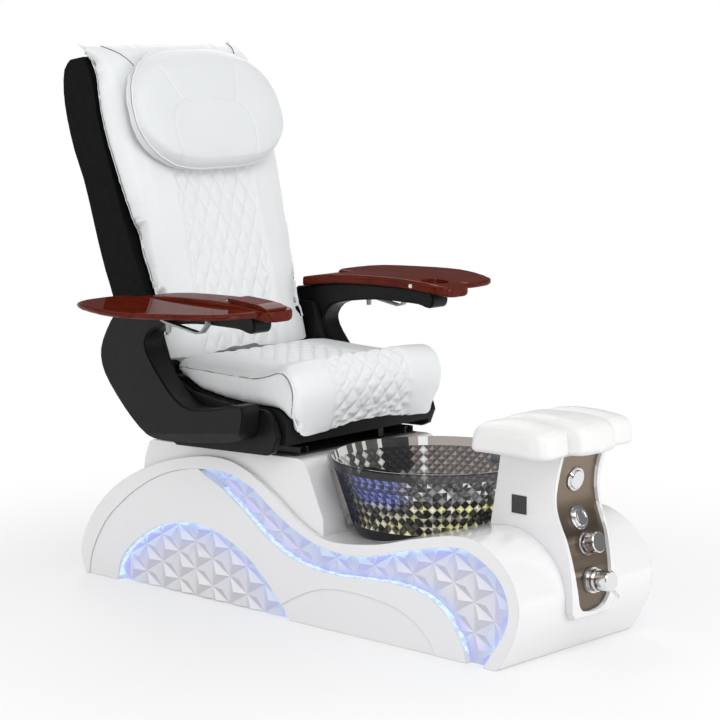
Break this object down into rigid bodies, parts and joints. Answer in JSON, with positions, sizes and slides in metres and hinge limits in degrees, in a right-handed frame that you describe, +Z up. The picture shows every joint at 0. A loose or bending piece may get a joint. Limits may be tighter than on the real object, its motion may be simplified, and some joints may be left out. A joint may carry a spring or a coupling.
{
  "type": "pedicure spa chair",
  "caption": "Pedicure spa chair: glowing S-curved base with faceted glass foot bowl and tap column, sliding and reclining quilted seat, wooden arms with folding trays.",
  "frame": {"origin": "on the floor under the middle of the base", "axes": "+X the way the sitter faces, +Y the sitter's left, +Z up"},
  "size_m": [1.5598, 1.2012, 1.367],
  "materials": {
    "white_gloss": "high gloss",
    "pad_white": "gloss",
    "glow_relief": "translucent satin, lit from its edges",
    "led": "glowing",
    "frame_steel": "satin black",
    "rail_steel": "satin",
    "rod_steel": "ground",
    "rubber_black": "matte",
    "bronze_panel": "brushed",
    "chrome": "polished",
    "dark_chrome": "polished",
    "black_plate": "gloss",
    "smoked_glass": "cut and polished",
    "pipe_white": "matte",
    "black_plastic": "satin",
    "upholstery": "white leatherette over foam",
    "mahogany": "high-gloss lacquer",
    "bracket_steel": "satin"
  },
  "bodies": {
    "base": {"base_shell": "white_gloss", "base_frame": "frame_steel", "levelling_feet": "rubber_black", "side_panel_right": "white_gloss", "side_panel_left": "white_gloss", "glow_band_right": "glow_relief", "glow_band_left": "glow_relief", "glow_arch_right": "glow_relief", "glow_arch_left": "glow_relief", "led_strips": "led", "footrest_column": "white_gloss", "footrest_pad": "pad_white", "control_panel": "bronze_panel", "button_sleeves": "chrome", "diverter_body": "chrome", "mixer_body": "chrome", "column_plate": "black_plate", "water_spout": "dark_chrome", "bowl": "smoked_glass", "bowl_gasket": "rubber_black", "drain_body": "chrome", "drain_pipe": "pipe_white", "jet_housing": "black_plastic", "rail_base": "rail_steel", "slide_actuator": "rail_steel"},
    "upper_button": {"upper_button": "chrome"},
    "lower_button": {"lower_button": "chrome"},
    "diverter": {"diverter_knob": "chrome"},
    "mixer": {"mixer_handle": "chrome"},
    "plug": {"drain_plug": "chrome"},
    "impeller": {"jet_impeller": "black_plastic"},
    "carriage": {"slide_rod": "rod_steel", "rail_runners": "rod_steel", "seat_frame": "frame_steel", "seat_cushion": "upholstery", "side_cover_right": "black_plastic", "side_cover_left": "black_plastic", "arm_cover_right": "black_plastic", "arm_cover_left": "black_plastic", "arm_board_right": "mahogany", "arm_board_left": "mahogany", "board_caps": "chrome", "lid_hinge": "chrome", "tray_bracket_right": "bracket_steel", "tray_bracket_left": "bracket_steel", "recline_pins": "rod_steel", "recline_actuator": "rail_steel"},
    "tray_right": {"tray_right": "mahogany", "tray_leaf_right": "bracket_steel"},
    "tray_left": {"tray_left": "mahogany", "tray_leaf_left": "bracket_steel"},
    "remote_lid": {"remote_lid": "mahogany"},
    "recline_rod": {"recline_rod": "rod_steel"},
    "backrest": {"back_frame": "frame_steel", "back_shell": "black_plastic", "back_cushion": "upholstery", "head_pillow": "upholstery"}
  },
  "joints": [
    {"name": "seat_slide", "type": "slide", "parent": "base", "child": "carriage", "axis": [0.9994, 0, 0.0349], "range_m": [-0.06, 0.08]},
    {"name": "back_recline", "type": "hinge", "parent": "carriage", "child": "backrest", "pos_m": [-0.385, 0, 0.505], "axis": [0, -1, 0], "range_deg": [0, 28]},
    {"name": "recline_rod_slide", "type": "slide", "parent": "carriage", "child": "recline_rod", "axis": [1, 0, 0], "range_m": [0, 0.0282]},
    {"name": "tray_right_fold", "type": "hinge", "parent": "carriage", "child": "tray_right", "pos_m": [-0.16, -0.381, 0.738], "axis": [1, 0, 0], "range_deg": [0, 90]},
    {"name": "tray_left_fold", "type": "hinge", "parent": "carriage", "child": "tray_left", "pos_m": [-0.16, 0.381, 0.738], "axis": [-1, 0, 0], "range_deg": [0, 90]},
    {"name": "remote_lid_hinge", "type": "hinge", "parent": "carriage", "child": "remote_lid", "pos_m": [-0.039, -0.329, 0.78067], "axis": [0, -1, 0], "range_deg": [0, 100]},
    {"name": "upper_button_press", "type": "slide", "parent": "base", "child": "upper_button", "axis": [-0.9902, 0, 0.1397], "range_m": [0, 0.0035], "stiffness_N_per_m": 800, "springref_m": -0.002},
    {"name": "lower_button_press", "type": "slide", "parent": "base", "child": "lower_button", "axis": [-0.9245, 0, -0.3811], "range_m": [0, 0.0035], "stiffness_N_per_m": 800, "springref_m": -0.002},
    {"name": "diverter_turn", "type": "hinge", "parent": "base", "child": "diverter", "pos_m": [0.74797, 0, 0.257], "axis": [0.9654, 0, 0.2606], "range_deg": [-90, 90]},
    {"name": "mixer_turn", "type": "hinge", "parent": "base", "child": "mixer", "pos_m": [0.7639, 0, 0.176], "axis": [0.9942, 0, 0.1074], "range_deg": [-50, 50]},
    {"name": "plug_lift", "type": "slide", "parent": "base", "child": "plug", "axis": [0, 0, 1], "range_m": [0, 0.012]},
    {"name": "impeller_spin", "type": "hinge", "parent": "base", "child": "impeller", "pos_m": [0.1326, 0, 0.299], "axis": [1, 0, 0], "continuous": true}
  ],
  "couplings": [
    {"joint": "recline_rod_slide", "follows": "back_recline", "m_per_rad": 0.0577}
  ]
}
